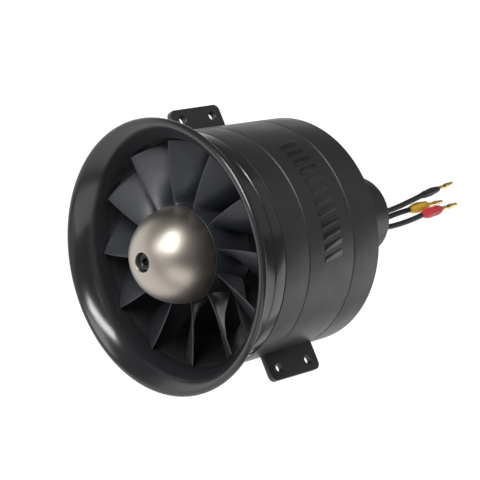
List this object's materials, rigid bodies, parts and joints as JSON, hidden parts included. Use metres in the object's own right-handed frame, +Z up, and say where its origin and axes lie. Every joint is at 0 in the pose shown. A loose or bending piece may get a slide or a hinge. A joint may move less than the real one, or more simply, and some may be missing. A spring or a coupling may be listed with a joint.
{
  "type": "ducted fan power unit",
  "caption": "Ducted fan power unit for a model jet: gloss intake lip, round duct with two side mounting tabs, fan with spinner, straightening vanes, in-runner motor, tail cover and leads.",
  "frame": {"origin": "on the fan axis, midway between the four holes of the two mounting tabs, in the tabs' mid plane", "axes": "+Y along the fan axis from intake to exhaust, +Z up, +X to the right seen from the intake"},
  "size_m": [0.1162, 0.1931, 0.1088],
  "materials": {
    "gloss_black_plastic": "polished black moulded plastic",
    "satin_black_plastic": "satin black glass-filled nylon",
    "blade_composite": "dark grey carbon-filled composite, fine grain",
    "blasted_aluminium": "bead-blasted, warm grey",
    "black_anodised": "black anodised",
    "steel": "ground",
    "black_steel": "black oxide",
    "lamination_steel": "stacked sheet",
    "enamelled_copper": null,
    "nickel_plated_magnet": "nickel plate",
    "black_rubber": "silicone sleeve",
    "black_heat_shrink": "shrunk sleeve",
    "yellow_heat_shrink": "shrunk sleeve",
    "red_heat_shrink": "shrunk sleeve",
    "gold_plated_brass": "gold plate"
  },
  "bodies": {
    "housing": {"intake_lip": "gloss_black_plastic", "duct_shell": "satin_black_plastic", "stator_frame": "satin_black_plastic", "tail_cover": "satin_black_plastic", "motor_can": "black_anodised", "motor_front_bell": "black_anodised", "motor_rear_bell": "black_anodised", "front_bearing_outer_ring": "steel", "rear_bearing_outer_ring": "steel", "lip_screw_1": "black_steel", "lip_screw_2": "black_steel", "lip_screw_3": "black_steel", "lip_screw_4": "black_steel", "motor_screw_1": "black_steel", "motor_screw_2": "black_steel", "motor_screw_3": "black_steel", "motor_screw_4": "black_steel", "stator_core": "lamination_steel", "front_bearing_cage": "lamination_steel", "rear_bearing_cage": "lamination_steel", "coil_1": "enamelled_copper", "coil_2": "enamelled_copper", "coil_3": "enamelled_copper", "coil_4": "enamelled_copper", "coil_5": "enamelled_copper", "coil_6": "enamelled_copper", "wire_grommet": "black_rubber", "inner_lead_black": "black_rubber", "inner_lead_yellow": "black_rubber", "inner_lead_red": "black_rubber", "lead_black": "black_rubber", "lead_yellow": "black_rubber", "lead_red": "black_rubber", "heat_shrink_black": "black_heat_shrink", "heat_shrink_yellow": "yellow_heat_shrink", "heat_shrink_red": "red_heat_shrink", "bullet_pin_black": "gold_plated_brass", "bullet_pin_yellow": "gold_plated_brass", "bullet_pin_red": "gold_plated_brass"},
    "rotor": {"impeller": "blade_composite", "spinner": "blasted_aluminium", "spinner_screw": "black_steel", "motor_shaft": "steel", "rotor_core": "lamination_steel", "magnet_1": "nickel_plated_magnet", "magnet_2": "nickel_plated_magnet", "magnet_3": "nickel_plated_magnet", "magnet_4": "nickel_plated_magnet", "magnet_sleeve": "steel", "hub_adapter": "blasted_aluminium", "fan_nut": "steel", "fan_washer": "steel", "front_bearing_inner_ring": "steel", "rear_bearing_inner_ring": "steel"}
  },
  "joints": [
    {"name": "fan_spin", "type": "hinge", "parent": "housing", "child": "rotor", "pos_m": [0, 0, 0], "axis": [0, -1, 0], "continuous": true}
  ]
}
